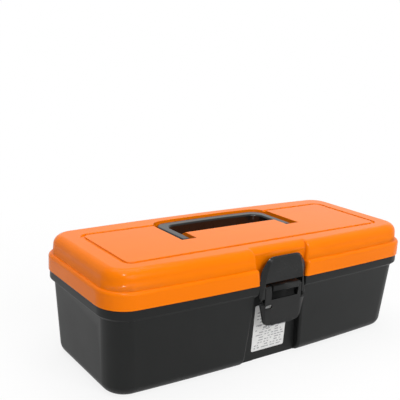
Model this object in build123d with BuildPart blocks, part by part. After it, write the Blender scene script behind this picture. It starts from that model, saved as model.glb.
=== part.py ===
"""Moulded tool case: a drafted tub, a hinged lid with a fold-down handle, and a draw latch.

Millimetres, +Z up. The origin is at the middle of the tub's underside, the front with the latch
faces -Y, and the case is modelled closed.
"""
import math
import os

from build123d import *

os.makedirs("parts", exist_ok=True)

# Whole case
case_length = 320.0  # over the lid's band
case_width = 137.0  # over the lid's band, at mid-length
side_bow = 4.7  # how far the long sides bulge at mid-length
seam_z = 75.0  # underside of the lid's skirt
lid_height = 29.0
seat_gap = 0.2  # between the lid's skirt and the tub's rim
wall = 2.4  # wall of both mouldings
turn_gap = 0.35  # side gap between parts that turn past each other
pin_gap = 0.05  # radial running clearance on every pin

# Tub
tub_corner = 20.0  # plan radius of the wall's corners
tub_base_inset = 8.9  # wall from the band's outline, carried down to the underside
tub_neck_inset = 4.7  # wall from the band's outline, under the flange
tub_base_round = 10.0
flange_inset = 1.0
flange_corner = 23.0
flange_height = 7.0
flange_slope = 3.5  # height of the chamfer below the flange
lip_inset = 4.3
lip_height = 3.0
floor_round = 7.5
panel_inset = 30.0  # the floor's raised panel, from the band's outline
panel_step = 1.0
floor_bar_length = 21.0
floor_bar_width = 2.5
floor_bar_height = 0.8
floor_bar_pitch = 130.0
floor_bar_inset = 25.5  # from the band's back

# Latch recess, shared by the tub and the lid
recess_width = 50.0  # at the seam
bay_base_width = 61.0  # at the underside of the tub
notch_top_width = 57.5  # at the top of the lid
bay_top_depth = 12.5  # recess wall behind the band's front, at the seam
bay_base_depth = 16.5  # and at the underside
bay_edge_round = 2.0
lip_gap = 0.3  # between the tub's lip and the walls of the lid's recess

# Lid
band_corner = 24.0
band_height = 14.0
band_round = 2.9
crown_base_inset = 3.1  # upper body from the band's outline, at the seam
crown_top_inset = 4.1
crown_corner = 20.0
crown_round = 8.0
crown_inner_round = 5.6
groove_length = 271.0
groove_width = 82.0
groove_y = -3.0
groove_corner = 7.0
groove_band = 3.2
groove_depth = 1.2

# Latch recess and catch in the lid
notch_depth = 8.0  # behind the band's front
notch_round = 8.0
notch_edge_round = 2.5
notch_edge_steps = 4  # flat strips that make up the round
catch_width = 26.0
catch_reach = 4.4
catch_base = 1.0  # catch's underside above the seam
catch_height = 5.0

# Hinges
hinge_pitch = 160.0
hinge_standoff = 5.0  # axis behind the band's back
hinge_radius = 5.0
hinge_pin_radius = 1.6
knuckle_width = 13.5
hinge_rib_width = 3.2
lug_width = 14.0
lug_taper = 3.5
lug_height = 12.0
lug_end_wall = 4.3  # closes the blind end of the pin's bore
hinge_pin_sink = 0.5  # pin's open end, inside its bore

# Handle, lying in the lid's pocket
handle_width = 122.0
handle_reach = 50.8  # from the pivot to the back of the grip
handle_bow = 2.0
handle_height = 12.4
handle_sink = 1.6  # handle's top below the lid's top
arm_width = 8.5
grip_width = 10.0
handle_corner = 13.0
handle_inner_corner = 9.0
handle_edge_round = 1.8
pivot_y = -3.0
stub_radius = 2.6
stub_bite = 2.0  # how far each stub runs into its wall

# Handle pocket in the lid
pocket_gap_side = 4.0
pocket_gap_back = 1.8
pocket_gap_front = 1.3
pocket_gap_below = 1.2
pocket_wall = 2.2
pocket_corner = 16.0
channel_gap_inner = 2.0
scoop_start = 10.0  # front edge of the finger scoop behind the pivot
scoop_gap = 4.8  # flat floor between the scoop and the grip
pivot_box_reach = 9.0  # back of each pivot box behind the pivot
pivot_box_drop = 2.0
pivot_box_side = 1.4

# Latch, with heights from the seam and depths from the band's front
latch_gap = 0.4  # to each side of the recess
latch_bevel_depth = 2.0
latch_edge_round = 0.8
latch_pin_radius = 1.2
latch_pin_drop = 4.4
bracket_reach = 1.0
bracket_top_drop = 1.2
bracket_height = 5.9
bracket_edge_round = 1.0
bracket_rib = 5.4  # between the bracket's two slots
bracket_cheek = 2.9  # outside each slot
bracket_slot_width = 3.6
bracket_slot_depth = 3.6
bracket_slot_set = 8.0

# Latch lever
lever_wide_arm = 6.8
lever_narrow_arm = 3.2
lever_arm_gap = 0.65  # from each arm to the hook's rail
lever_arm_radius = 2.6
lever_top_drop = 14.0
lever_shoulder_drop = 16.0
lever_base_drop = 36.5
lever_set = 0.3  # in from each side of the hook
lever_base_width = 38.0
lever_corner = 6.0
lever_plate = 1.8
lever_crease_width = 37.0  # flat of the front face, between its bent edges
lever_bend = 0.7  # how far the edges are bent back
lever_slot_length = 7.2
lever_slot_width = 3.0
lever_slot_drop = 20.0
lever_slot_x = -15.2
lever_relief_height = 2.2  # slope on the lever's shoulders, under the hook's rails
lever_lip_width = 24.0
lever_lip_reach = 0.9
lever_lip_height = 4.2

# Latch hook
hook_stub_radius = 1.0
hook_pivot_depth = 1.9
hook_pivot_drop = 12.0
hook_rail_radius = 1.9
hook_rail_width = 4.4
hook_window_rise = 1.2
hook_top_rise = 23.0
hook_side_rise = 11.0  # where the sides start to lean in
hook_top_width = 33.0
hook_corner = 9.0
hook_back_taper = 1.7  # how far the outline draws in towards the back
hook_face_set = 0.2  # front face, inside the bevel: in from each side at its base
hook_face_bend_width = 38.4
hook_face_bend_rise = 9.0
hook_face_top_width = 31.6
hook_face_top_rise = 21.4
hook_face_corner = 5.0
hook_plate = 2.6
hook_rim = 2.2  # rim left around the hollow behind the front face
nose_width = 24.0
nose_overlap = 2.3  # over the catch
nose_gap = 0.4  # above the catch
nose_height = 4.0
nose_root = 0.6  # into the front plate

# Label
label_width = 36.0
label_base_z = 8.5
label_height = 43.0
label_thickness = 0.3
label_corner = 1.5

# Heights and places that follow from the sizes above
front_y = -case_width / 2
lid_top_z = seam_z + lid_height
lid_ceiling_z = lid_top_z - wall
rim_z = seam_z - seat_gap
lip_top_z = rim_z + lip_height
flange_base_z = rim_z - flange_height
neck_z = flange_base_z - flange_slope
floor_z = wall
bay_top_y = front_y + bay_top_depth
bay_base_y = front_y + bay_base_depth
notch_y = front_y + notch_depth
notch_half = recess_width / 2
notch_lean = math.atan((notch_top_width - recess_width) / 2 / lid_height)

hinge_y = case_width / 2 + hinge_standoff
hinge_z = seam_z
rib_half = hinge_rib_width / 2
knuckle_start = rib_half + turn_gap
knuckle_end = knuckle_start + knuckle_width
lug_start = knuckle_end + turn_gap
lug_end = lug_start + lug_width
hinge_pin_end = lug_end - lug_end_wall

handle_top_z = lid_top_z - handle_sink
handle_base_z = handle_top_z - handle_height
handle_back_y = pivot_y + handle_reach
grip_front_y = handle_back_y - grip_width
arm_inner = handle_width / 2 - arm_width
pivot_radius = handle_height / 2
pivot_z = handle_base_z + pivot_radius
arm_end_y = pivot_y - pivot_radius
pocket_floor_z = handle_base_z - pocket_gap_below
pocket_base_z = pocket_floor_z - pocket_wall
pocket_half = handle_width / 2 + pocket_gap_side
pocket_back_y = handle_back_y + pocket_gap_back
pocket_front_y = arm_end_y - pocket_gap_front
channel_inner = arm_inner - channel_gap_inner
core_half = channel_inner - pocket_wall
scoop_front_y = pivot_y + scoop_start
scoop_end_y = grip_front_y - scoop_gap

catch_base_z = seam_z + catch_base
catch_front_y = notch_y - catch_reach
latch_width = recess_width - 2 * latch_gap
latch_half = latch_width / 2
lever_shoulder_width = latch_width - 2 * lever_set
hook_face_base_width = latch_width - 2 * hook_face_set
rail_inner = latch_half - hook_rail_width
bevel_y = front_y + latch_bevel_depth
latch_pin_y = front_y + lever_arm_radius
latch_pin_z = seam_z - latch_pin_drop
bracket_front_y = front_y - bracket_reach
bracket_top_z = seam_z - bracket_top_drop
bracket_base_z = bracket_top_z - bracket_height
bracket_width = 2 * (rail_inner - lever_arm_gap - turn_gap) - lever_wide_arm - lever_narrow_arm
bracket_shift = (lever_wide_arm - lever_narrow_arm) / 2  # to the right of the middle, beside the wide arm
bracket_slot_length = (bracket_width - bracket_rib) / 2 - bracket_cheek
bracket_slot_pitch = bracket_slot_length + bracket_rib
bracket_start = bracket_shift - bracket_width / 2
bracket_end = bracket_shift + bracket_width / 2
lever_arms = (
    (bracket_start - turn_gap - lever_wide_arm, bracket_start - turn_gap),
    (bracket_end + turn_gap, bracket_end + turn_gap + lever_narrow_arm),
)
lever_top_z = seam_z - lever_top_drop
lever_shoulder_z = seam_z - lever_shoulder_drop
lever_base_z = seam_z - lever_base_drop
lever_slot_z = seam_z - lever_slot_drop
hook_pivot_y = front_y + hook_pivot_depth
hook_pivot_z = seam_z - hook_pivot_drop
hook_back_y = hook_pivot_y + hook_rail_radius
hook_base_z = hook_pivot_z - hook_rail_radius
hook_window_z = seam_z + hook_window_rise
nose_base_z = catch_base_z + catch_height + nose_gap
nose_tip_y = catch_front_y + nose_overlap


def plan(inset, corner, z):
    """Case outline at height z, set in from the band's: bowed long sides and round corners."""
    half_length = case_length / 2 - inset
    half_width = case_width / 2 - inset
    end_width = half_width - side_bow
    with BuildSketch(Plane.XY.offset(z)) as sketch:
        with BuildLine():
            ThreePointArc((-half_length, -end_width), (0, -half_width), (half_length, -end_width))
            Line((half_length, -end_width), (half_length, end_width))
            ThreePointArc((half_length, end_width), (0, half_width), (-half_length, end_width))
            Line((-half_length, end_width), (-half_length, -end_width))
        make_face()
        fillet(sketch.vertices(), corner)
    return sketch.sketch


def side_y(x):
    """Outer face of the band's bowed back at x."""
    return case_width / 2 - side_bow * (2 * x / case_length) ** 2


def bay_half(z):
    """Half width of the tub's latch recess at height z."""
    return (bay_base_width + (recess_width - bay_base_width) * z / seam_z) / 2


def bay_y(z):
    """Recess wall of the tub at height z."""
    return bay_base_y + (bay_top_y - bay_base_y) * z / seam_z


def bay_section(grow, z):
    """Rectangle at height z that reaches from in front of the case to the recess wall."""
    half_width = bay_half(z) + grow
    back_y = bay_y(z) + grow
    with BuildSketch(Plane.XY.offset(z)) as sketch:
        with Locations((0, back_y)):
            Rectangle(2 * half_width, case_width / 2, align=(Align.CENTER, Align.MAX))
    return sketch.sketch


def box_plan(x_start, x_end, y_start, y_end, z):
    """Rectangle at height z between the given sides."""
    with BuildSketch(Plane.XY.offset(z)) as sketch:
        with Locations(((x_start + x_end) / 2, (y_start + y_end) / 2)):
            Rectangle(abs(x_end - x_start), abs(y_end - y_start))
    return sketch.sketch


def d_plan(half, start_y, back_y, corner, z):
    """Outline at height z with a straight front, straight sides and the handle's bowed back."""
    side_end_y = back_y - handle_bow
    with BuildSketch(Plane.XY.offset(z)) as sketch:
        with BuildLine():
            Polyline((-half, side_end_y), (-half, start_y), (half, start_y), (half, side_end_y))
            ThreePointArc((half, side_end_y), (0, back_y), (-half, side_end_y))
        make_face()
        fillet(sketch.vertices().group_by(Axis.Y)[-1], corner)
    return sketch.sketch


def side_view(x, *points):
    """Closed polygon of (y, z) points on the plane across the case at x."""
    with BuildSketch(Plane.YZ.offset(x)) as sketch:
        with BuildLine():
            Polyline(*points, close=True)
        make_face()
    return sketch.sketch


def front_view(y, *points):
    """Closed polygon of (x, z) points on the plane along the case at y."""
    with BuildSketch(Plane.XZ.offset(-y)) as sketch:
        with BuildLine():
            Polyline(*points, close=True)
        make_face()
    return sketch.sketch


def bar(radius, y, z, x_start, x_end, mode=Mode.ADD):
    """Adds a round bar along X to the part being built, or cuts a bore with Mode.SUBTRACT."""
    with BuildSketch(Plane.YZ.offset(x_start)) as sketch:
        with Locations((y, z)):
            Circle(radius)
    extrude(sketch.sketch, amount=x_end - x_start, mode=mode)


def notch_plane(x):
    """Plane across the case that crosses the seam at x and leans out towards the lid's top."""
    lean_x = -math.copysign(math.sin(notch_lean), x)
    return Plane(origin=(x, 0, seam_z), x_dir=(0, 1, 0), z_dir=(math.cos(notch_lean), 0, lean_x))


def lean(y, z):
    """Point (y, z) as seen on a leaning plane, whose own heights start at the seam."""
    return (y, (z - seam_z) / math.cos(notch_lean))


def notch_view(grow, x):
    """Side view of what lies in front of the lid's latch recess, with its rounded upper edge."""
    back_y = notch_y + grow
    round_y = notch_y + notch_round
    round_z = lid_top_z - notch_round
    over_z = lid_top_z + wall
    arc_mid = (notch_round - grow) * math.sqrt(0.5)
    with BuildSketch(notch_plane(x)) as sketch:
        with BuildLine():
            Polyline(
                lean(round_y, over_z),
                lean(-case_width, over_z),
                lean(-case_width, seam_z - wall),
                lean(back_y, seam_z - wall),
                lean(back_y, round_z),
            )
            ThreePointArc(
                lean(back_y, round_z),
                lean(round_y - arc_mid, round_z + arc_mid),
                lean(round_y, lid_top_z - grow),
            )
            Line(lean(round_y, lid_top_z - grow), lean(round_y, over_z))
        make_face()
    return sketch.sketch


def outer_view(depth, x):
    """Side view of what lies outside the lid's front and top when they are set in by depth."""
    face_y = -side_y(x)
    band_top_z = seam_z + band_height
    band_round_z = band_top_z - band_round
    crown_round_z = lid_top_z - crown_round
    crown_rise = (crown_top_inset - crown_base_inset) / lid_height
    crown_y = face_y + crown_base_inset + crown_rise * (crown_round_z - seam_z)
    crown_low_y = face_y + crown_base_inset + crown_rise * band_height
    band_mid = (band_round - depth) * math.sqrt(0.5)
    crown_mid = (crown_round - depth) * math.sqrt(0.5)
    back_y = notch_y + 2 * notch_round
    over_z = lid_top_z + wall
    with BuildSketch(notch_plane(x)) as sketch:
        with BuildLine():
            Polyline(
                lean(back_y, lid_top_z - depth),
                lean(back_y, over_z),
                lean(-case_width, over_z),
                lean(-case_width, seam_z - wall),
                lean(face_y + depth, seam_z - wall),
                lean(face_y + depth, band_round_z),
            )
            ThreePointArc(
                lean(face_y + depth, band_round_z),
                lean(face_y + band_round - band_mid, band_round_z + band_mid),
                lean(face_y + band_round, band_top_z - depth),
            )
            Polyline(
                lean(face_y + band_round, band_top_z - depth),
                lean(crown_low_y + depth, band_top_z - depth),
                lean(crown_y + depth, crown_round_z),
            )
            ThreePointArc(
                lean(crown_y + depth, crown_round_z),
                lean(crown_y + crown_round - crown_mid, crown_round_z + crown_mid),
                lean(crown_y + crown_round, lid_top_z - depth),
            )
            Line(lean(crown_y + crown_round, lid_top_z - depth), lean(back_y, lid_top_z - depth))
        make_face()
    return sketch.sketch


def notch_edge(step):
    """One of the side views that the round along the lid recess's side edges is made of."""
    turn = math.pi / 2 * step / notch_edge_steps
    outward = notch_edge_round * (1 - math.sin(turn))
    depth = notch_edge_round * (1 - math.cos(turn))
    if step == 0:
        return outer_view(-pin_gap, notch_half + outward + pin_gap)
    return outer_view(depth, notch_half + outward - pin_gap)


def groove_ring(width, z):
    """Rounded rectangular ring at height z that follows the groove in the lid's top."""
    with BuildSketch(Plane.XY.offset(z)) as sketch:
        with Locations((0, groove_y)):
            RectangleRounded(groove_length + width, groove_width + width, groove_corner + width / 2)
            RectangleRounded(
                groove_length - width,
                groove_width - width,
                groove_corner - width / 2,
                mode=Mode.SUBTRACT,
            )
    return sketch.sketch


def hook_outline(base_half, bend_half, bend_rise, top_half, top_rise, corner, y):
    """Front view of the latch hook: sides that lean in above a bend, with round corners."""
    bend_z = seam_z + bend_rise
    top_z = seam_z + top_rise
    with BuildSketch(Plane.XZ.offset(-y)) as sketch:
        with BuildLine():
            Polyline(
                (-base_half, hook_base_z),
                (-bend_half, bend_z),
                (-top_half, top_z),
                (top_half, top_z),
                (bend_half, bend_z),
                (base_half, hook_base_z),
                close=True,
            )
        make_face()
        fillet(sketch.vertices().filter_by(lambda vertex: vertex.Y > hook_pivot_z), corner)
    return sketch.sketch


def hook_edge(taper, y):
    """Outer outline of the latch hook, drawn in by taper."""
    half = latch_half - taper
    top_half = hook_top_width / 2 - taper
    return hook_outline(half, half, hook_side_rise, top_half, hook_top_rise - taper, hook_corner, y)


def hook_face(rim, y):
    """Outline of the latch hook's front face, set in by rim."""
    return hook_outline(
        hook_face_base_width / 2 - rim,
        hook_face_bend_width / 2 - rim,
        hook_face_bend_rise - rim,
        hook_face_top_width / 2 - rim,
        hook_face_top_rise - rim,
        hook_face_corner,
        y,
    )


# Hollow of the tub
with BuildPart() as tub_hollow:
    loft(
        [
            plan(tub_base_inset + wall, tub_corner - wall, floor_z),
            plan(tub_neck_inset + wall, tub_corner - wall, lip_top_z),
        ],
        ruled=True,
    )
    fillet(tub_hollow.edges().group_by(Axis.Z)[0], floor_round)

# Tub: the outside, the hollow, the latch recess with its own walls, the bracket and the knuckles
lip_notch_half = notch_half + (lip_top_z - seam_z) * math.tan(notch_lean) + wall + lip_gap
lip_notch_y = notch_y + wall + lip_gap
with BuildPart() as tub:
    loft([plan(tub_base_inset, tub_corner, 0), plan(tub_neck_inset, tub_corner, neck_z)], ruled=True)
    fillet(tub.edges().group_by(Axis.Z)[0], tub_base_round)
    loft(
        [plan(tub_neck_inset, tub_corner, neck_z), plan(flange_inset, flange_corner, flange_base_z)],
        ruled=True,
    )
    extrude(plan(flange_inset, flange_corner, flange_base_z), amount=flange_height)
    extrude(plan(lip_inset, tub_corner, rim_z), amount=lip_height)
    tub_outside = tub.part
    add(tub_hollow.part, mode=Mode.SUBTRACT)
    loft([bay_section(wall, 0), bay_section(wall, lip_top_z)], ruled=True)
    extrude(
        box_plan(-lip_notch_half - wall, lip_notch_half + wall, -case_width, bay_top_y + wall, flange_base_z),
        amount=lip_top_z - flange_base_z,
    )
    add(tub_outside, mode=Mode.INTERSECT)
    loft([bay_section(0, -wall), bay_section(0, lip_top_z + wall)], ruled=True, mode=Mode.SUBTRACT)
    extrude(
        box_plan(-lip_notch_half, lip_notch_half, -case_width, lip_notch_y, rim_z),
        amount=2 * lip_height,
        mode=Mode.SUBTRACT,
    )
    extrude(plan(panel_inset, tub_corner, 0), amount=panel_step, mode=Mode.SUBTRACT)
    extrude(plan(panel_inset, tub_corner, floor_z), amount=panel_step)
    with Locations((0, case_width / 2 - floor_bar_inset, floor_z)):
        with GridLocations(floor_bar_pitch, 0, 2, 1):
            Box(
                floor_bar_length,
                floor_bar_width,
                floor_bar_height,
                align=(Align.CENTER, Align.CENTER, Align.MIN),
            )
    bay_edges = tub.edges().filter_by(
        lambda edge: edge.length > seam_z / 2
        and edge.center().Y < bay_top_y
        and abs(abs(edge.center().X) - bay_half(edge.center().Z)) < wall / 4
    )
    fillet(bay_edges, bay_edge_round)
    # Bracket for the latch pin
    bracket_root_y = bay_y(bracket_base_z) + wall / 2
    with BuildSketch(Plane.YZ.offset(bracket_start)) as bracket_side:
        with Locations((bracket_root_y, bracket_base_z)):
            Rectangle(bracket_root_y - bracket_front_y, bracket_height, align=(Align.MAX, Align.MIN))
        fillet(bracket_side.vertices().group_by(Axis.X)[0], bracket_edge_round)
    extrude(amount=bracket_width)
    with Locations((bracket_shift, front_y + bracket_slot_set, bracket_top_z)):
        with GridLocations(bracket_slot_pitch, 0, 2, 1):
            Box(
                bracket_slot_length,
                bracket_slot_width,
                bracket_slot_depth,
                align=(Align.CENTER, Align.CENTER, Align.MAX),
                mode=Mode.SUBTRACT,
            )
    bar(latch_pin_radius + pin_gap, latch_pin_y, latch_pin_z, bracket_start, bracket_end, Mode.SUBTRACT)
    # Hinge knuckles
    knuckle_root_y = side_y(hinge_pitch / 2 + knuckle_end) - flange_inset - wall
    for hinge_x in (-hinge_pitch / 2, hinge_pitch / 2):
        for start_x in (hinge_x - knuckle_end, hinge_x + knuckle_start):
            bar(hinge_radius, hinge_y, hinge_z, start_x, start_x + knuckle_width)
            extrude(
                side_view(
                    start_x,
                    (knuckle_root_y, rim_z),
                    (hinge_y, rim_z),
                    (hinge_y, hinge_z - hinge_radius),
                    (knuckle_root_y, flange_base_z - flange_slope / 2),
                ),
                amount=knuckle_width,
            )
        bar(
            hinge_pin_radius + pin_gap,
            hinge_y,
            hinge_z,
            hinge_x - lug_start,
            hinge_x + lug_start,
            Mode.SUBTRACT,
        )
tub.part.label = "tub"
export_step(tub.part, "parts/tub.step")

# Hollow of the lid, under its crown and inside its band
with BuildPart() as lid_hollow:
    loft(
        [
            plan(crown_base_inset + wall, crown_corner - wall, seam_z),
            plan(crown_top_inset + wall, crown_corner - wall, lid_ceiling_z),
        ],
        ruled=True,
    )
    fillet(lid_hollow.edges().group_by(Axis.Z)[-1], crown_inner_round)
    extrude(plan(wall, band_corner - wall, seam_z), amount=band_height - wall)

# Hinge lugs of the lid: a thin rib between the knuckles and a tapered block on either side
lug_root_y = side_y(hinge_pitch / 2 + lug_end) - wall / 8
lug_top_z = seam_z + lug_height
with BuildPart() as lugs:
    for hinge_x in (-hinge_pitch / 2, hinge_pitch / 2):
        spans = (
            (hinge_x - lug_end, lug_width),
            (hinge_x - rib_half, hinge_rib_width),
            (hinge_x + lug_start, lug_width),
        )
        for start_x, width in spans:
            extrude(
                side_view(
                    start_x,
                    (lug_root_y, seam_z),
                    (hinge_y + hinge_radius / 2, seam_z),
                    (case_width / 2, lug_top_z),
                    (lug_root_y, lug_top_z),
                ),
                amount=width,
            )
        for side in (-1, 1):
            outer_x = hinge_x + side * lug_end
            extrude(
                front_view(
                    0,
                    (outer_x, seam_z + lug_height / 2),
                    (outer_x, lug_top_z),
                    (outer_x - side * lug_taper, lug_top_z),
                ),
                amount=-case_width,
                mode=Mode.SUBTRACT,
            )
        for start_x, width in spans:
            bar(hinge_radius, hinge_y, hinge_z, start_x, start_x + width)

# Rounds along the side edges of the lid's latch recess
with BuildPart() as notch_rounds:
    for step in range(notch_edge_steps):
        loft([notch_edge(step), notch_edge(step + 1)], ruled=True)
    loft(
        [notch_view(0, notch_half - wall), notch_view(0, notch_half + 2 * notch_edge_round)],
        ruled=True,
        mode=Mode.INTERSECT,
    )
    mirror(about=Plane.YZ)

# Lid: band and crown, hollow, latch recess and catch, groove, handle pocket, hinge lugs
scoop_run = scoop_end_y - scoop_front_y
scoop_drop = lid_top_z - pocket_floor_z
scoop_shift = pocket_wall * math.hypot(scoop_run, scoop_drop) / scoop_drop
box_outer = pocket_half + pocket_wall + pivot_box_side
with BuildPart() as lid:
    extrude(plan(0, band_corner, seam_z), amount=band_height)
    fillet(lid.edges().group_by(Axis.Z)[-1], band_round)
    loft(
        [plan(crown_base_inset, crown_corner, seam_z), plan(crown_top_inset, crown_corner, lid_top_z)],
        ruled=True,
    )
    fillet(lid.edges().group_by(Axis.Z)[-1], crown_round)
    lid_outside = lid.part
    add(lid_hollow.part, mode=Mode.SUBTRACT)
    loft([notch_view(wall, -notch_half - wall), notch_view(wall, notch_half + wall)], ruled=True)
    add(lid_outside, mode=Mode.INTERSECT)
    loft([notch_view(0, -notch_half), notch_view(0, notch_half)], ruled=True, mode=Mode.SUBTRACT)
    add(notch_rounds.part, mode=Mode.SUBTRACT)
    with Locations((0, notch_y + wall / 2, catch_base_z)):
        Box(
            catch_width,
            catch_reach + wall / 2,
            catch_height,
            align=(Align.CENTER, Align.MAX, Align.MIN),
        )
    # Groove, with the rib that it makes underneath
    extrude(groove_ring(groove_band + 2 * groove_depth, lid_ceiling_z - groove_depth), amount=groove_depth)
    extrude(groove_ring(groove_band, lid_top_z), amount=-groove_depth, mode=Mode.SUBTRACT)
    # Handle pocket: its walls, the space under the scoop, the pivot boxes, then the pocket itself
    extrude(
        d_plan(
            pocket_half + pocket_wall,
            pocket_front_y - pocket_wall,
            pocket_back_y + pocket_wall,
            pocket_corner + pocket_wall,
            pocket_base_z,
        ),
        amount=lid_ceiling_z - pocket_base_z + wall / 2,
    )
    extrude(
        side_view(
            -core_half,
            (pocket_front_y - 2 * pocket_wall, pocket_base_z),
            (pocket_front_y - 2 * pocket_wall, lid_ceiling_z),
            (scoop_front_y - scoop_shift + scoop_run * wall / scoop_drop, lid_ceiling_z),
            (scoop_end_y - scoop_shift + scoop_run * pocket_wall / scoop_drop, pocket_base_z),
        ),
        amount=2 * core_half,
        mode=Mode.SUBTRACT,
    )
    for start_x, end_x in ((-box_outer, -core_half), (core_half, box_outer)):
        extrude(
            box_plan(
                start_x,
                end_x,
                pocket_front_y - pocket_wall,
                pivot_y + pivot_box_reach,
                pocket_base_z - pivot_box_drop,
            ),
            amount=lid_ceiling_z - pocket_base_z + pivot_box_drop + wall / 2,
        )
    with BuildSketch(Plane.XY.offset(pocket_floor_z)):
        add(d_plan(pocket_half, pocket_front_y, pocket_back_y, pocket_corner, 0))
        add(box_plan(-channel_inner, channel_inner, -case_width, scoop_end_y, 0), mode=Mode.SUBTRACT)
    extrude(amount=lid_height, mode=Mode.SUBTRACT)
    extrude(
        side_view(
            -channel_inner,
            (scoop_front_y, lid_top_z),
            (scoop_end_y, pocket_floor_z),
            (grip_front_y, pocket_floor_z),
            (grip_front_y, lid_top_z),
        ),
        amount=2 * channel_inner,
        mode=Mode.SUBTRACT,
    )
    stub_bore = stub_radius + pin_gap
    bore_far = pocket_half + stub_bite + turn_gap
    bar(stub_bore, pivot_y, pivot_z, -bore_far, -core_half + pocket_wall, Mode.SUBTRACT)
    bar(stub_bore, pivot_y, pivot_z, core_half - pocket_wall, bore_far, Mode.SUBTRACT)
    add(lugs.part)
    for hinge_x in (-hinge_pitch / 2, hinge_pitch / 2):
        bar(
            hinge_pin_radius + pin_gap,
            hinge_y,
            hinge_z,
            hinge_x - lug_end,
            hinge_x + hinge_pin_end,
            Mode.SUBTRACT,
        )
lid.part.label = "lid"
export_step(lid.part, "parts/lid.step")

# Handle: a U with round arm ends and a pivot stub on both sides of each arm
with BuildPart() as handle:
    with BuildSketch(Plane.XY.offset(handle_base_z)):
        add(d_plan(handle_width / 2, arm_end_y, handle_back_y, handle_corner, 0))
        add(
            d_plan(arm_inner, arm_end_y - handle_reach, grip_front_y, handle_inner_corner, 0),
            mode=Mode.SUBTRACT,
        )
    extrude(amount=handle_height)
    with BuildSketch(Plane.YZ.offset(-handle_width)):
        with Locations((pivot_y, pivot_z)):
            Circle(pivot_radius)
            Rectangle(2 * handle_reach, handle_height, align=(Align.MIN, Align.CENTER))
    extrude(amount=2 * handle_width, mode=Mode.INTERSECT)
    round_edges = handle.edges().filter_by(
        lambda edge: edge.geom_type != GeomType.LINE or abs(edge.tangent_at(0).Y) > 0.5
    )
    fillet(round_edges, handle_edge_round)
    for side in (-1, 1):
        bar(stub_radius, pivot_y, pivot_z, side * (channel_inner - stub_bite), side * arm_inner)
        bar(stub_radius, pivot_y, pivot_z, side * handle_width / 2, side * (pocket_half + stub_bite))
handle.part.label = "handle"
export_step(handle.part, "parts/handle.step")

# Latch lever: a bent plate with two arms up to the bracket's pin
wing_half = lever_shoulder_width / 2
wing_y = front_y + lever_bend
crease_half = lever_crease_width / 2
arms_start = lever_arms[0][0]
arms_end = lever_arms[1][1]
with BuildPart() as latch_lever:
    with BuildSketch(Plane.XY.offset(lever_base_z)):
        with BuildLine():
            Polyline(
                (-wing_half, wing_y),
                (-crease_half, front_y),
                (crease_half, front_y),
                (wing_half, wing_y),
                (wing_half, wing_y + lever_plate),
                (crease_half, front_y + lever_plate),
                (-crease_half, front_y + lever_plate),
                (-wing_half, wing_y + lever_plate),
                close=True,
            )
        make_face()
    extrude(amount=lever_top_z - lever_base_z)
    # Finger lip along the lower edge
    extrude(
        side_view(
            -lever_lip_width / 2,
            (front_y + lever_plate, lever_base_z),
            (front_y - lever_lip_reach, lever_base_z),
            (front_y, lever_base_z + lever_lip_height),
            (front_y + lever_plate, lever_base_z + lever_lip_height),
        ),
        amount=lever_lip_width,
    )
    with BuildSketch(Plane.XZ) as lever_front:
        with BuildLine():
            Polyline(
                (-lever_base_width / 2, lever_base_z),
                (lever_base_width / 2, lever_base_z),
                (wing_half, lever_shoulder_z),
                (arms_end, lever_shoulder_z),
                (arms_end, lever_top_z),
                (arms_start, lever_top_z),
                (arms_start, lever_shoulder_z),
                (-wing_half, lever_shoulder_z),
                close=True,
            )
        make_face()
        fillet(lever_front.vertices().group_by(Axis.Y)[0], lever_corner)
    extrude(amount=case_width, mode=Mode.INTERSECT)
    # Relief on the shoulders, then the arms with their bores, and the slot under the wide arm
    for start_x, end_x in ((-latch_half, arms_start), (arms_end, latch_half)):
        extrude(
            side_view(
                start_x,
                (front_y - lever_plate, lever_shoulder_z),
                (front_y - lever_plate, lever_shoulder_z - lever_relief_height),
                (front_y, lever_shoulder_z - lever_relief_height),
                (front_y + lever_plate, lever_shoulder_z),
            ),
            amount=end_x - start_x,
            mode=Mode.SUBTRACT,
        )
    arm_base_z = lever_slot_z + lever_slot_width
    for start_x, end_x in lever_arms:
        bar(lever_arm_radius, latch_pin_y, latch_pin_z, start_x, end_x)
        extrude(
            side_view(
                start_x,
                (front_y, arm_base_z),
                (front_y, latch_pin_z),
                (front_y + 2 * lever_arm_radius, latch_pin_z),
                (front_y + 2 * lever_arm_radius, lever_top_z),
                (front_y + lever_plate, arm_base_z),
            ),
            amount=end_x - start_x,
        )
    bar(latch_pin_radius + pin_gap, latch_pin_y, latch_pin_z, -latch_half, latch_half, Mode.SUBTRACT)
    bar(hook_stub_radius + pin_gap, hook_pivot_y, hook_pivot_z, -latch_half, latch_half, Mode.SUBTRACT)
    with BuildSketch(Plane.XZ):
        with Locations((lever_slot_x, lever_slot_z)):
            SlotOverall(lever_slot_length, lever_slot_width)
    extrude(amount=case_width, mode=Mode.SUBTRACT)
latch_lever.part.label = "latch_lever"
export_step(latch_lever.part, "parts/latch_lever.step")

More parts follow.
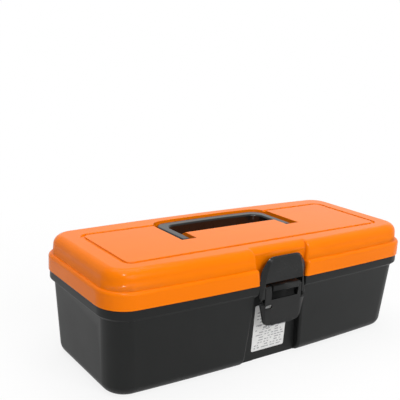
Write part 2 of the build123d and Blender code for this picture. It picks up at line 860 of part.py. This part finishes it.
# Latch hook: a bevelled cap with two rails, hollow behind, with a nose over the lid's catch
with BuildPart() as latch_hook:
    loft([hook_face(0, front_y), hook_edge(0, bevel_y)], ruled=True)
    face_edges = latch_hook.edges().filter_by(
        lambda edge: abs(edge.center().Y - front_y) < pin_gap and edge.center().Z > hook_base_z + pin_gap
    )
    fillet(face_edges, latch_edge_round)
    loft([hook_edge(0, bevel_y), hook_edge(hook_back_taper, hook_back_y)], ruled=True)
    extrude(hook_face(hook_rim, front_y + hook_plate), amount=-case_width / 2, mode=Mode.SUBTRACT)
    extrude(
        box_plan(-rail_inner, rail_inner, -case_width, 0, hook_base_z),
        amount=hook_window_z - hook_base_z,
        mode=Mode.SUBTRACT,
    )
    with Locations((0, nose_tip_y, nose_base_z)):
        Box(
            nose_width,
            nose_tip_y - front_y - hook_plate + nose_root,
            nose_height,
            align=(Align.CENTER, Align.MAX, Align.MIN),
        )
    # Round ends on the rails, and the stubs that turn in the lever's arms
    with BuildSketch(Plane.YZ.offset(-latch_width)):
        with Locations((hook_pivot_y, hook_pivot_z)):
            Circle(hook_rail_radius)
            Rectangle(case_width, lid_height + seam_z, align=(Align.CENTER, Align.MIN))
    extrude(amount=2 * latch_width, mode=Mode.INTERSECT)
    for start_x, end_x in ((-rail_inner, lever_arms[0][1]), (lever_arms[1][0], rail_inner)):
        bar(hook_stub_radius, hook_pivot_y, hook_pivot_z, start_x, end_x)
latch_hook.part.label = "latch_hook"
export_step(latch_hook.part, "parts/latch_hook.step")

# Latch pin, flush with the lever's arms
with BuildPart() as latch_pin:
    bar(latch_pin_radius, latch_pin_y, latch_pin_z, arms_start, arms_end)
latch_pin.part.label = "latch_pin"
export_step(latch_pin.part, "parts/latch_pin.step")

# Hinge pins, each seated on the blind end of its bore
for side_name, hinge_x in (("left", -hinge_pitch / 2), ("right", hinge_pitch / 2)):
    with BuildPart() as hinge_pin:
        bar(
            hinge_pin_radius,
            hinge_y,
            hinge_z,
            hinge_x - lug_end + hinge_pin_sink,
            hinge_x + hinge_pin_end,
        )
    hinge_pin.part.label = f"hinge_pin_{side_name}"
    export_step(hinge_pin.part, f"parts/hinge_pin_{side_name}.step")

# Label, flat on the sloping wall of the tub's recess
label_z = label_base_z + label_height / 2
label_plane = Plane(
    origin=(0, bay_y(label_z), label_z),
    x_dir=(1, 0, 0),
    z_dir=(0, -seam_z, bay_top_y - bay_base_y),
)
with BuildPart() as label:
    with BuildSketch(label_plane):
        RectangleRounded(label_width, label_height, label_corner)
    extrude(amount=label_thickness)
label.part.label = "label"
export_step(label.part, "parts/label.step")
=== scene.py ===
# %% [markdown]
# # Moulded tool case
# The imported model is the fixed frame: every solid, joint and size comes from it, in metres, with
# +Z up and the latch towards -Y. This lesson dresses it: it sets up the photographer's camera and
# light, gives each moulding a softened skin, and builds the plastics out of shader nodes.

# %% Load the frame
import math

import bmesh
import bpy
from mathutils import Matrix, Vector
from mathutils.bvhtree import BVHTree
from mathutils.kdtree import KDTree


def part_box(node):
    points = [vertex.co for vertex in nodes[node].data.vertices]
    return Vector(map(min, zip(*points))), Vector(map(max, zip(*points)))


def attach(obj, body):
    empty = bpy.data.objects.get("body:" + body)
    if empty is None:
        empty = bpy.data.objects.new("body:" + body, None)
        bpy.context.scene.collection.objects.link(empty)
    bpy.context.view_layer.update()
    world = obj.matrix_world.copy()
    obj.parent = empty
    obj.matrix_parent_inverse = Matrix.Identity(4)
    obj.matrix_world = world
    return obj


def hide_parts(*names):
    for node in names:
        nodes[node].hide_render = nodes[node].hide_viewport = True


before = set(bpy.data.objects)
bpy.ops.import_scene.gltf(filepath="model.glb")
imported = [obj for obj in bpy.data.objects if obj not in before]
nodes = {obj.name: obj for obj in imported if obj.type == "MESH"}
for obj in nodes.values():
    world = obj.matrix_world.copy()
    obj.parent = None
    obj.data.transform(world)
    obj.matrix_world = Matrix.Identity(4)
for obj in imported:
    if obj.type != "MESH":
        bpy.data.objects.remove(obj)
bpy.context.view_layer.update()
scene = bpy.context.scene
print("nodes:", sorted(nodes))

# %% [markdown]
# The camera stands in front of the left corner, a little above the lid, and is tipped by a few
# degrees as a hand-held one is. Its place, aim, tilt and lens were measured from the straight edges
# of the case, so the render can be laid over the photograph.

# %% Camera
camera_place = Vector((-0.36447, -0.46086, 0.26714))
camera_aim = Vector((-0.041462, 0.0, 0.133426))
camera_roll = math.radians(2.626)
camera_lens = 60.776  # millimetres, as is the sensor's width
sensor_width = 36.0
nearest_seen = 0.01


def aim_camera(place, target, roll, lens):
    """Adds the scene's camera at place, looking at target, turned about its own axis by roll."""
    data = bpy.data.cameras.new("camera")
    data.lens = lens
    data.sensor_width = sensor_width
    data.clip_start = nearest_seen
    camera = bpy.data.objects.new("camera", data)
    scene.collection.objects.link(camera)
    turn = (target - place).to_track_quat("-Z", "Y").to_matrix()
    camera.matrix_world = Matrix.Translation(place) @ (turn @ Matrix.Rotation(roll, 3, "Z")).to_4x4()
    scene.camera = camera
    return camera


camera = aim_camera(camera_place, camera_aim, camera_roll, camera_lens)
print("camera at", tuple(round(v, 3) for v in camera.location))

# %% [markdown]
# The case stands on a white sweep. What the camera sees of the floor is nearly all white glow, with
# a little of the lit floor mixed in near the case, so that it keeps a soft contact shadow, and none
# farther off, so that floor and backdrop meet without a line. The world does the same: white to the
# camera and to reflections, and a plain grey light for everything else.

# %% Floor and world
scene.view_settings.view_transform = "Standard"
pure_white = (1, 1, 1, 1)
matt_white = (0.85, 0.85, 0.85, 1)
glow_near = 0.2  # from the middle of the case, where the floor's glow starts to rise
glow_far = 0.5  # and where it is full
range_sockets = ("From Min", "From Max", "To Min", "To Max")


def add_node(tree, kind, **values):
    """Adds a node and sets its inputs by name and its settings by attribute."""
    node = tree.nodes.new(kind)
    for key, value in values.items():
        if key in node.inputs:
            node.inputs[key].default_value = value
        else:
            setattr(node, key, value)
    return node


def seen_directly(tree):
    """A socket that is 1 for camera, glossy and transmission rays, and 0 for the light's own paths."""
    path = add_node(tree, "ShaderNodeLightPath")
    first = add_node(tree, "ShaderNodeMath", operation="MAXIMUM")
    second = add_node(tree, "ShaderNodeMath", operation="MAXIMUM")
    tree.links.new(path.outputs["Is Camera Ray"], first.inputs[0])
    tree.links.new(path.outputs["Is Glossy Ray"], first.inputs[1])
    tree.links.new(first.outputs[0], second.inputs[0])
    tree.links.new(path.outputs["Is Transmission Ray"], second.inputs[1])
    return second.outputs[0]


def white_world(fill):
    """World that is white where it is seen, and a plain fill light of the given strength elsewhere."""
    world = bpy.data.worlds.new("white_sweep")
    world.use_nodes = True
    tree = world.node_tree
    tree.nodes.clear()
    lit = add_node(tree, "ShaderNodeBackground", Color=pure_white, Strength=fill)
    seen = add_node(tree, "ShaderNodeBackground", Color=pure_white, Strength=1.0)
    mix = add_node(tree, "ShaderNodeMixShader")
    out = add_node(tree, "ShaderNodeOutputWorld")
    tree.links.new(seen_directly(tree), mix.inputs[0])
    tree.links.new(lit.outputs[0], mix.inputs[1])
    tree.links.new(seen.outputs[0], mix.inputs[2])
    tree.links.new(mix.outputs[0], out.inputs[0])
    scene.world = world


def white_floor(half_size, glow):
    """Floor under the case: a matt white that glows where it is seen."""
    mesh = bpy.data.meshes.new("floor")
    corners = [(-1, -1), (1, -1), (1, 1), (-1, 1)]
    mesh.from_pydata([(x * half_size, y * half_size, 0.0) for x, y in corners], [], [(0, 1, 2, 3)])
    floor = bpy.data.objects.new("floor", mesh)
    scene.collection.objects.link(floor)
    material = bpy.data.materials.new("white_floor")
    material.use_nodes = True
    tree = material.node_tree
    tree.nodes.clear()
    matt = add_node(tree, "ShaderNodeBsdfDiffuse", Color=matt_white)
    white = add_node(tree, "ShaderNodeEmission", Color=pure_white, Strength=1.0)
    mix = add_node(tree, "ShaderNodeMixShader")
    share = add_node(tree, "ShaderNodeMath", operation="MULTIPLY")
    out = add_node(tree, "ShaderNodeOutputMaterial")
    place = add_node(tree, "ShaderNodeTexCoord")
    reach = add_node(tree, "ShaderNodeVectorMath", operation="LENGTH")
    fade = add_node(tree, "ShaderNodeMapRange", interpolation_type="SMOOTHSTEP")
    for socket, number in zip(range_sockets, (glow_near, glow_far, glow, 1.0)):
        fade.inputs[socket].default_value = number
    tree.links.new(place.outputs["Object"], reach.inputs[0])
    tree.links.new(reach.outputs["Value"], fade.inputs["Value"])
    tree.links.new(fade.outputs["Result"], share.inputs[1])
    tree.links.new(seen_directly(tree), share.inputs[0])
    tree.links.new(share.outputs[0], mix.inputs[0])
    tree.links.new(matt.outputs[0], mix.inputs[1])
    tree.links.new(white.outputs[0], mix.inputs[2])
    tree.links.new(mix.outputs[0], out.inputs[0])
    mesh.materials.append(material)


white_world(fill=0.35)
white_floor(half_size=6.0, glow=0.85)
print("floor and world are white where they are seen")

# %% [markdown]
# The case is lit by large soft boxes: one high in front, which makes the long front the brightest
# side, and a broad one overhead. A small third lamp, high over the left corner, is shut out of the
# diffuse light: it is there only for the sparkle that it leaves on rounded corners.

# %% Lights


def soft_box(name, place, target, size, power):
    """Square area lamp at place that faces target."""
    data = bpy.data.lights.new(name, "AREA")
    data.size = size
    data.energy = power
    lamp = bpy.data.objects.new(name, data)
    scene.collection.objects.link(lamp)
    turn = (Vector(target) - Vector(place)).to_track_quat("-Z", "Y").to_matrix().to_4x4()
    lamp.matrix_world = Matrix.Translation(place) @ turn
    return lamp


soft_box("front_box", place=(0.0, -1.35, 0.95), target=(0, 0, 0.06), size=1.0, power=14.0)
soft_box("top_box", place=(0.0, 0.2, 1.6), target=(0, 0, 0.1), size=1.4, power=18.0)
spark = soft_box(
    "spark_box", place=(-0.45, -0.7, 1.3), target=(-0.1, 0, 0.08), size=0.06, power=16.0
)
spark.visible_diffuse = False

# %% [markdown]
# Real mouldings have no knife edges: the mould's own corners are never quite sharp, and that thin
# round is what catches the light along every rim. A Bevel modifier set to one width tears where two
# edges leave it no room, so each solid is copied, its doubled corners are merged, and every sharp
# edge carries its own weight, from the room that the faces beside it leave. The copy then stands for
# the solid.

# %% Room for a round
spare = 1.1  # a round's room has to be this many times its width
least_area = 3e-8  # square metres: smaller faces can turn over without being seen
turned_over = -0.1  # cosine between a face's normal and the solid's
off_surface = 0.6  # widths that a point may lie off the solid


def edge_room(edge, sharp):
    """How wide a round the faces beside a sharp edge leave room for."""
    along = (edge.verts[1].co - edge.verts[0].co).normalized()
    rooms = []
    for loop in edge.link_loops:
        face = loop.face
        heights = [(v.co - edge.verts[0].co).cross(along).length for v in face.verts]
        shared = any(other in sharp for other in face.edges if other is not edge)
        rooms.append(max(heights) / (2 * spare if shared else spare))
        for corner in (loop.link_loop_prev, loop.link_loop_next):
            side = corner.edge
            if side in sharp:
                continue
            across = (side.verts[1].co - side.verts[0].co).cross(along).length
            rooms.append(across / spare)
    return min(rooms)


def round_faults(mesh, surface, width):
    """Points where a round turned a face over, or left the solid's own surface."""
    places = []
    mesh.calc_loop_triangles()
    for part in mesh.loop_triangles:
        corners = [mesh.vertices[i].co.copy() for i in part.vertices]
        normal = surface.find_nearest(sum(corners, Vector()) / 3)[1]
        if part.area > least_area and part.normal.dot(normal) < turned_over:
            places += corners
    for point in mesh.vertices:
        nearest, _, _, gap = surface.find_nearest(point.co)
        if gap > off_surface * width:
            places.append(nearest)
    return places


# %% [markdown]
# Only edges that stand out are rounded, because inner corners gain nothing. Even so, a few corners
# fold, mostly where rounds of different width meet. The rounded copy is therefore held against the
# solid: wherever a face has turned over or a point has left the surface, the edges close by lose
# their round, and the modifier runs again.

# %% Softened skins
same_point = 2e-6  # corners closer than this are one
flat_angle = 0.0005  # radians: faces that differ by less are one
sharp_angle = math.radians(28)
least_share = 0.3  # of the full width: a narrower round is left out
round_segments = 2
fault_reach = 3  # widths from a fault within which edges lose their round
most_tries = 12


def merged_copy(mesh):
    """Shape of a mesh with doubled corners and flat neighbours merged, and its surface."""
    shape = bmesh.new()
    shape.from_mesh(mesh)
    bmesh.ops.remove_doubles(shape, verts=shape.verts, dist=same_point)
    surface = BVHTree.FromBMesh(shape)
    bmesh.ops.dissolve_limit(shape, angle_limit=flat_angle, verts=shape.verts, edges=shape.edges)
    for face in shape.faces:
        face.smooth = True
    return shape, surface


def unround(edges, weight, places, reach):
    """Takes the round off every edge that ends within reach of one of the places."""
    tree = KDTree(len(places))
    for index, place in enumerate(places):
        tree.insert(place, index)
    tree.balance()
    for edge in edges:
        if min(tree.find(v.co)[2] for v in edge.verts) < reach:
            edge[weight] = 0.0


def soft_skin(node, width, body):
    """Copy of a solid with its sharp edges rounded by up to width, riding on body in its place."""
    mesh = nodes[node].data.copy()
    mesh.name = node + "_skin"
    if "custom_normal" in mesh.attributes:
        mesh.attributes.remove(mesh.attributes["custom_normal"])
    shape, surface = merged_copy(mesh)
    weight = shape.edges.layers.float.new("bevel_weight_edge")
    sharp = {e for e in shape.edges if e.is_manifold and e.calc_face_angle_signed() > sharp_angle}
    for edge in sharp:
        share = min(1.0, edge_room(edge, sharp) / width)
        edge[weight] = share if share > least_share else 0.0
    skin = bpy.data.objects.new(node + "_skin", mesh)
    scene.collection.objects.link(skin)
    bevel = skin.modifiers.new("soft_edges", "BEVEL")
    bevel.width = width
    bevel.segments = round_segments
    bevel.limit_method = "WEIGHT"
    bevel.use_clamp_overlap = False
    evener = skin.modifiers.new("even_normals", "WEIGHTED_NORMAL")
    evener.keep_sharp = True
    for attempt in range(most_tries):
        shape.to_mesh(mesh)
        evaluated = skin.evaluated_get(bpy.context.evaluated_depsgraph_get())
        rounded = bpy.data.meshes.new_from_object(evaluated)
        places = round_faults(rounded, surface, width)
        print(node, "try", attempt, len(places), "points at fault")
        if not places:
            break
        unround(sharp, weight, places, fault_reach * width)
    shape.free()
    low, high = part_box(node)
    for point in rounded.vertices:
        point.co = [min(max(point.co[i], low[i]), high[i]) for i in range(3)]
    skin.data = rounded
    skin.modifiers.clear()
    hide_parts(node)
    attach(skin, body)
    print(node, len(sharp), "sharp edges; the skin has", len(rounded.polygons), "faces")
    return skin


tub_skin = soft_skin("tub", width=0.0006, body="tub")
lid_skin = soft_skin("lid", width=0.0005, body="lid")
handle_skin = soft_skin("handle", width=0.0004, body="handle")
lever_skin = soft_skin("latch_lever", width=0.00035, body="latch_lever")
hook_skin = soft_skin("latch_hook", width=0.00035, body="latch_hook")

# %% [markdown]
# The tub came out of a mould with two finishes: spark-textured outside, polished inside. The shader
# needs to know which side it is on, and a wall is too thin to tell that from the place alone. So
# three points hang in the empty tub, and a face that sees one of them belongs to the inside. The
# answer is stored on the mesh as a face attribute.

# %% Inside of the tub
off_face = 0.0002  # where a face looks from, in front of its middle


def mark_inside(piece, eyes):
    """Stores 1 in the face attribute 'inside' where a face sees one of the eyes, and 0 elsewhere."""
    mesh = piece.data
    walls = BVHTree.FromPolygons([v.co for v in mesh.vertices], [f.vertices for f in mesh.polygons])
    seen = []
    for face in mesh.polygons:
        start = face.center + face.normal * off_face
        sights = [Vector(eye) - start for eye in eyes]
        clear = [walls.ray_cast(start, sight.normalized(), sight.length)[0] is None for sight in sights]
        seen.append(1.0 if any(clear) else 0.0)
    mesh.attributes.new("inside", "FLOAT", "FACE").data.foreach_set("value", seen)
    return sum(seen)


tub_eyes = [(-0.09, 0.0, 0.05), (0.0, 0.01, 0.05), (0.09, 0.0, 0.05)]
print(mark_inside(tub_skin, tub_eyes), "of", len(tub_skin.data.polygons), "tub faces are inside")

# %% [markdown]
# Every finish below is one Principled shader fed by noise on the piece's own coordinates, in metres,
# so a noise of scale 1000 has grains a millimetre wide. What is the same all over is set on the
# shader itself, and the noise only drives what really varies: tint, roughness and relief.

# %% Helpers for the finishes
noise_low, noise_high = 0.3, 0.7  # most of a noise's values lie between these


def new_finish(name, **constants):
    """Material with one Principled shader whose constants are set on its own sockets."""
    material = bpy.data.materials.new(name)
    material.use_nodes = True
    tree = material.node_tree
    shader = tree.nodes["Principled BSDF"]
    for socket, value in constants.items():
        shader.inputs[socket.replace("_", " ")].default_value = value
    return material, tree, shader


def grain(tree, scale, detail, finer=(1, 1, 1)):
    """Noise on the piece's own coordinates, as a socket; finer along each axis by that factor."""
    place = add_node(tree, "ShaderNodeTexCoord")
    mapping = add_node(tree, "ShaderNodeMapping", Scale=finer)
    noise = add_node(tree, "ShaderNodeTexNoise", Scale=scale, Detail=detail, Roughness=0.55)
    tree.links.new(place.outputs["Object"], mapping.inputs["Vector"])
    tree.links.new(mapping.outputs["Vector"], noise.inputs["Vector"])
    return noise.outputs[0]


def spread(tree, value, low, high, lowest=noise_low, highest=noise_high):
    """Stretches a value from lowest to highest over low to high."""
    node = add_node(tree, "ShaderNodeMapRange")
    tree.links.new(value, node.inputs["Value"])
    for socket, number in zip(range_sockets, (lowest, highest, low, high)):
        node.inputs[socket].default_value = number
    return node.outputs["Result"]


def tint(tree, value, dark, light):
    """Colour that goes from dark to light with a noise value."""
    ramp = add_node(tree, "ShaderNodeValToRGB")
    for stop, position, colour in zip(ramp.color_ramp.elements, (noise_low, noise_high), (dark, light)):
        stop.position = position
        stop.color = (*colour, 1)
    tree.links.new(value, ramp.inputs[0])
    return ramp.outputs["Color"]


def relief(tree, shader, height, depth, strength=1.0):
    """Bump of the given depth in metres on the shader's normal; returns its strength's socket."""
    bump = add_node(tree, "ShaderNodeBump", Strength=strength, Distance=depth)
    tree.links.new(height, bump.inputs["Height"])
    tree.links.new(bump.outputs["Normal"], shader.inputs["Normal"])
    return bump.inputs["Strength"]


def dress(piece, material):
    """Gives a piece one material."""
    piece.data.materials.clear()
    piece.data.materials.append(material)


# %% [markdown]
# The lid is a glossy orange moulding. Pigment never mixes quite evenly in the melt, so the tint
# drifts in long faint flow marks, and the polished steel leaves a shallow orange peel that breaks up
# the edge of a reflection without hiding it.

# %% Orange lid


def orange_gloss():
    """Glossy orange with faint flow marks and a shallow orange peel."""
    material, tree, shader = new_finish("orange_gloss", Specular_IOR_Level=0.08)
    flow = grain(tree, scale=9.0, detail=3.0, finer=(1.0, 2.5, 2.5))
    colour = tint(tree, flow, dark=(0.86, 0.182, 0.0), light=(0.89, 0.195, 0.0))
    tree.links.new(colour, shader.inputs["Base Color"])
    polish = grain(tree, scale=45.0, detail=3.0)
    tree.links.new(spread(tree, polish, low=0.16, high=0.2), shader.inputs["Roughness"])
    relief(tree, shader, grain(tree, scale=500.0, detail=2.0), depth=0.00006, strength=0.08)
    return material


dress(lid_skin, orange_gloss())
print("lid:", lid_skin.data.materials[0].name)

# %% [markdown]
# The tub is black and two-faced. Outside, the mould was spark-eroded, which leaves a matt skin of
# pits a third of a millimetre wide; inside it was polished, so the walls mirror the lid and the
# room. The stored attribute moves the roughness, the depth of the pits and the reflection's strength.

# %% Black tub


def textured_black():
    """Black that is pitted and matt outside the tub, and polished inside."""
    material, tree, shader = new_finish("textured_black")
    side = add_node(tree, "ShaderNodeAttribute", attribute_name="inside").outputs["Fac"]

    def by_side(outside, inside):
        """Value that differs between the tub's two sides, as a socket."""
        return spread(tree, side, low=outside, high=inside, lowest=0.0, highest=1.0)

    pigment = grain(tree, scale=40.0, detail=4.0)
    colour = tint(tree, pigment, dark=(0.0078, 0.0084, 0.0082), light=(0.0092, 0.0099, 0.0096))
    tree.links.new(colour, shader.inputs["Base Color"])
    rough = add_node(tree, "ShaderNodeMath", operation="ADD")
    wear = grain(tree, scale=25.0, detail=5.0)
    tree.links.new(by_side(outside=0.44, inside=0.16), rough.inputs[0])
    tree.links.new(spread(tree, wear, low=-0.02, high=0.02), rough.inputs[1])
    tree.links.new(rough.outputs[0], shader.inputs["Roughness"])
    pit_strength = relief(tree, shader, grain(tree, scale=2600.0, detail=2.0), depth=0.00004)
    tree.links.new(by_side(outside=0.3, inside=0.02), pit_strength)
    tree.links.new(by_side(outside=0.2, inside=0.5), shader.inputs["Specular IOR Level"])
    return material


dress(tub_skin, textured_black())
print("tub:", tub_skin.data.materials[0].name)

# %% [markdown]
# Handle and latch are moulded from a harder black in a finer-polished mould. Hands keep rubbing them,
# so their satin changes a little from place to place.

# %% Black handle and latch


def satin_black():
    """Satin black, a little more or less rubbed from place to place."""
    material, tree, shader = new_finish("satin_black", Specular_IOR_Level=0.25)
    pigment = grain(tree, scale=80.0, detail=3.0)
    colour = tint(tree, pigment, dark=(0.007, 0.0073, 0.0072), light=(0.0105, 0.011, 0.0108))
    tree.links.new(colour, shader.inputs["Base Color"])
    rubbed = grain(tree, scale=150.0, detail=5.0)
    tree.links.new(spread(tree, rubbed, low=0.13, high=0.19), shader.inputs["Roughness"])
    relief(tree, shader, grain(tree, scale=1600.0, detail=2.0), depth=0.00003, strength=0.03)
    return material


satin = satin_black()
for piece in (handle_skin, lever_skin, hook_skin):
    dress(piece, satin)
print("handle, lever and hook:", satin.name)

# %% [markdown]
# The pins are drawn wire: fine scratches run along X, and across them the reflection is torn into
# streaks. Noise stretched a hundred times along the wire gives both.

# %% Steel pins


def drawn_wire():
    """Steel with fine scratches along X."""
    material, tree, shader = new_finish("drawn_wire", Metallic=1.0)
    scratches = grain(tree, scale=40.0, detail=4.0, finer=(1.0, 100.0, 100.0))
    colour = tint(tree, scratches, dark=(0.42, 0.42, 0.43), light=(0.6, 0.6, 0.61))
    tree.links.new(colour, shader.inputs["Base Color"])
    tree.links.new(spread(tree, scratches, low=0.22, high=0.42), shader.inputs["Roughness"])
    relief(tree, shader, scratches, depth=0.00002, strength=0.2)
    return material


wire = drawn_wire()
for name in ("latch_pin", "hinge_pin_left", "hinge_pin_right"):
    dress(nodes[name], wire)
print("pins:", wire.name)

# %% [markdown]
# The sticker is coated paper, nearly flat, with a breath of fibre in its surface. Its printing is left
# without words: rows of grey dashes stand for lines of small type.

# %% White sticker


def coated_paper():
    """White paper with a breath of fibre."""
    material, tree, shader = new_finish("coated_paper", Specular_IOR_Level=0.3)
    pulp = grain(tree, scale=300.0, detail=5.0)
    colour = tint(tree, pulp, dark=(0.76, 0.76, 0.75), light=(0.82, 0.82, 0.81))
    tree.links.new(colour, shader.inputs["Base Color"])
    coating = grain(tree, scale=90.0, detail=3.0)
    tree.links.new(spread(tree, coating, low=0.45, high=0.6), shader.inputs["Roughness"])
    fibres = grain(tree, scale=1200.0, detail=4.0, finer=(1.0, 1.0, 0.4))
    relief(tree, shader, fibres, depth=0.00003, strength=0.15)
    return material


def grey_ink():
    """Grey ink that covers unevenly."""
    material, tree, shader = new_finish("grey_ink", Specular_IOR_Level=0.3, Roughness=0.5)
    cover = grain(tree, scale=900.0, detail=3.0)
    colour = tint(tree, cover, dark=(0.26, 0.26, 0.27), light=(0.46, 0.46, 0.47))
    tree.links.new(colour, shader.inputs["Base Color"])
    return material


dress(nodes["label"], coated_paper())
print("label:", nodes["label"].data.materials[0].name)

# %% [markdown]
# Rows of dashes repeat by a rule, so a Geometry Nodes tree prints them: a grid of points, a thin
# block of ink on most of them, each as long as a word. The tree's inputs are the sizes a typesetter
# would name, and one tree prints the heading and both blocks of rows.

# %% Printing tree
word_lengths = (0.4, 1.1)  # shortest and longest word, in word pitches
word_slides = (-0.4, 0.4)  # how far a word slides along its row, in word pitches
inked_share = 0.86  # of all words; the rest stay blank


def printing_tree():
    """Geometry Nodes tree that sets rows of dashes on a leaning sheet."""
    tree = bpy.data.node_groups.new("printed_rows", "GeometryNodeTree")
    sockets = {}
    wanted = (
        ("Rows", "Int"), ("Row pitch", "Float"), ("Words", "Int"), ("Word pitch", "Float"),
        ("Word height", "Float"), ("Ink depth", "Float"), ("Place", "Vector"), ("Lean", "Float"),
        ("Seed", "Int"), ("Ink", "Material"),
    )
    for label, kind in wanted:
        item = tree.interface.new_socket(label, in_out="INPUT", socket_type="NodeSocket" + kind)
        sockets[label] = item.identifier
    tree.interface.new_socket("Geometry", in_out="OUTPUT", socket_type="NodeSocketGeometry")
    given = add_node(tree, "NodeGroupInput").outputs
    link = tree.links.new

    def times(first, second):
        node = add_node(tree, "ShaderNodeMath", operation="MULTIPLY")
        link(first, node.inputs[0])
        link(second, node.inputs[1])
        return node.outputs[0]

    def drawn(limits):
        """A number drawn between the limits for each point, in word pitches, as a length along X."""
        node = add_node(tree, "FunctionNodeRandomValue", data_type="FLOAT")
        node.inputs[2].default_value, node.inputs[3].default_value = limits
        link(given["Seed"], node.inputs["Seed"])
        return times(node.outputs[1], given["Word pitch"])

    grid = add_node(tree, "GeometryNodeMeshGrid")
    link(times(given["Words"], given["Word pitch"]), grid.inputs["Size X"])
    link(times(given["Rows"], given["Row pitch"]), grid.inputs["Size Y"])
    link(given["Words"], grid.inputs["Vertices X"])
    link(given["Rows"], grid.inputs["Vertices Y"])
    kept = add_node(tree, "FunctionNodeRandomValue", data_type="BOOLEAN", Probability=inked_share)
    link(given["Seed"], kept.inputs["Seed"])
    size = add_node(tree, "ShaderNodeCombineXYZ")
    link(drawn(word_lengths), size.inputs["X"])
    link(given["Word height"], size.inputs["Y"])
    link(given["Ink depth"], size.inputs["Z"])
    along = add_node(tree, "ShaderNodeCombineXYZ")
    link(drawn(word_slides), along.inputs["X"])
    loose = add_node(tree, "GeometryNodeSetPosition")
    link(grid.outputs["Mesh"], loose.inputs["Geometry"])
    link(along.outputs[0], loose.inputs["Offset"])
    dash = add_node(tree, "GeometryNodeMeshCube")
    rows = add_node(tree, "GeometryNodeInstanceOnPoints")
    link(loose.outputs[0], rows.inputs["Points"])
    link(kept.outputs[3], rows.inputs["Selection"])
    link(dash.outputs["Mesh"], rows.inputs["Instance"])
    link(size.outputs[0], rows.inputs["Scale"])
    turn = add_node(tree, "ShaderNodeCombineXYZ")
    link(given["Lean"], turn.inputs["X"])
    solid = add_node(tree, "GeometryNodeRealizeInstances")
    lay = add_node(tree, "GeometryNodeTransform")
    ink = add_node(tree, "GeometryNodeSetMaterial")
    out = add_node(tree, "NodeGroupOutput")
    link(rows.outputs[0], solid.inputs[0])
    link(solid.outputs[0], lay.inputs["Geometry"])
    link(turn.outputs[0], lay.inputs["Rotation"])
    link(given["Place"], lay.inputs["Translation"])
    link(lay.outputs[0], ink.inputs["Geometry"])
    link(given["Ink"], ink.inputs["Material"])
    link(ink.outputs[0], out.inputs[0])
    return tree, sockets


rows_tree, rows_sockets = printing_tree()
print("tree", rows_tree.name, "with inputs", list(rows_sockets))

# %% [markdown]
# The sheet's lean and middle are read from the label's own front face, so the ink lies on it. The
# result is turned into a plain mesh before it rides on the tub with the label.

# %% Printing on the sticker
facing_front = -0.7  # Y of a normal that counts as the sheet's front
ink_lift = 0.00002  # middle of the ink above the paper
ink_depth = 0.00004


def sheet_front(node):
    """Middle, normal and lean of a sheet's front; the lean turns a plan about X onto it."""
    faces = [f for f in nodes[node].data.polygons if f.normal.y < facing_front]
    total = sum(f.area for f in faces)
    normal = sum((f.normal * f.area for f in faces), Vector()).normalized()
    low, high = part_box(node)
    middle_z = (low[2] + high[2]) / 2
    anchor = sum((f.center * f.area for f in faces), Vector()) / total
    middle = Vector((0.0, anchor.y - (middle_z - anchor.z) * normal.z / normal.y, middle_z))
    return middle, normal, math.atan2(-normal.y, normal.z)


def print_rows(name, across, up, **sizes):
    """Prints rows whose middle lies across and up from the label's, by the tree's other inputs."""
    middle, normal, lean = sheet_front("label")
    upward = Vector((1, 0, 0)).cross(-normal)
    place = middle + Vector((across, 0, 0)) + upward * up + normal * ink_lift
    piece = bpy.data.objects.new(name, bpy.data.meshes.new(name))
    scene.collection.objects.link(piece)
    printer = piece.modifiers.new("printer", "NODES")
    printer.node_group = rows_tree
    values = dict(sizes, place=place, lean=lean, ink_depth=ink_depth, ink=ink)
    for label, value in values.items():
        printer[rows_sockets[label.replace("_", " ").capitalize()]] = value
    evaluated = piece.evaluated_get(bpy.context.evaluated_depsgraph_get())
    piece.data = bpy.data.meshes.new_from_object(evaluated)
    piece.modifiers.clear()
    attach(piece, "tub")
    print(name, len(piece.data.polygons), "faces, lean", round(math.degrees(lean), 1))


ink = grey_ink()
print_rows(
    "label_heading", across=0.002, up=0.001,
    rows=2, row_pitch=0.0013, words=6, word_pitch=0.0046, word_height=0.0016, seed=3,
)
print_rows(
    "label_upper_rows", across=0.0, up=0.0085,
    rows=5, row_pitch=0.0024, words=9, word_pitch=0.0031, word_height=0.001, seed=5,
)
print_rows(
    "label_small_rows", across=0.0, up=-0.0105,
    rows=8, row_pitch=0.0021, words=9, word_pitch=0.0031, word_height=0.0009, seed=8,
)
